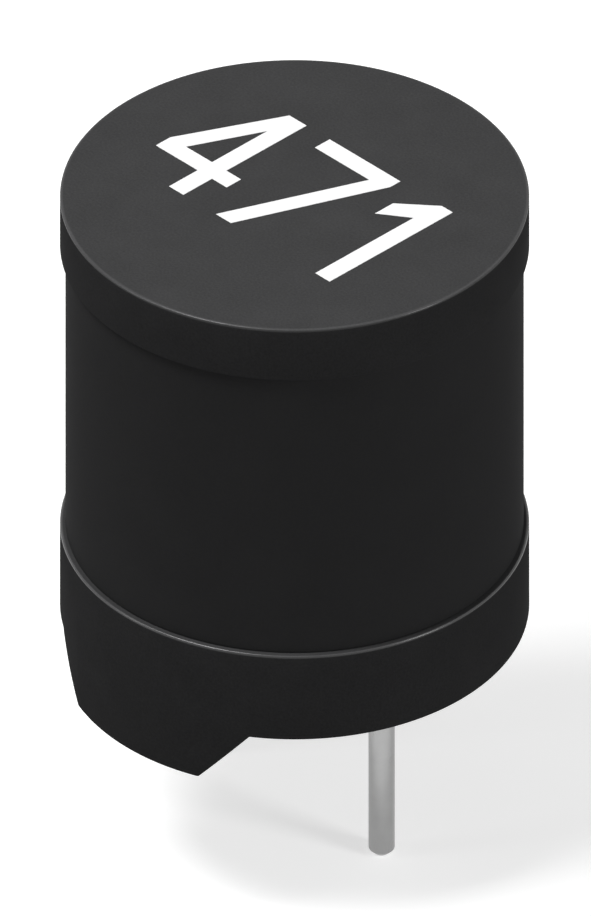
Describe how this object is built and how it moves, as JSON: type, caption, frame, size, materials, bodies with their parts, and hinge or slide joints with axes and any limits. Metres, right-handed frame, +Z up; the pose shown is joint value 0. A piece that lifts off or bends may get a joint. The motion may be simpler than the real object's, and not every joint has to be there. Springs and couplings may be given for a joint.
{
  "type": "drum core inductor",
  "caption": "Radial leaded drum core inductor: a ferrite spool with a sleeved copper winding between its flanges, standoff feet and straight pins for a circuit board.",
  "frame": {"origin": "midway between the pins, in the plane of the undersides of the feet, which is the top of the circuit board", "axes": "+Z up the drum's axis from the board to the top flange; the pins stand along X and the feet lie towards +Y and -Y; +X is also the reading direction of the mark on the top"},
  "size_m": [0.0094, 0.0094, 0.0149],
  "materials": {
    "ferrite": "matte dark grey sintered ferrite",
    "enamelled_wire": "glossy copper-coloured wire enamel",
    "shrink_tube": "satin black heat-shrink tube",
    "tinned_pin": "bright tin plating",
    "epoxy": "dark cured epoxy",
    "solder": "satin tin solder"
  },
  "bodies": {
    "root": {"drum_core": "ferrite", "winding": "enamelled_wire", "sleeve": "shrink_tube", "terminal_pin_right": "tinned_pin", "terminal_pin_left": "tinned_pin", "pin_adhesive_right": "epoxy", "pin_adhesive_left": "epoxy", "solder_joint_right": "solder", "solder_joint_left": "solder"}
  },
  "joints": []
}
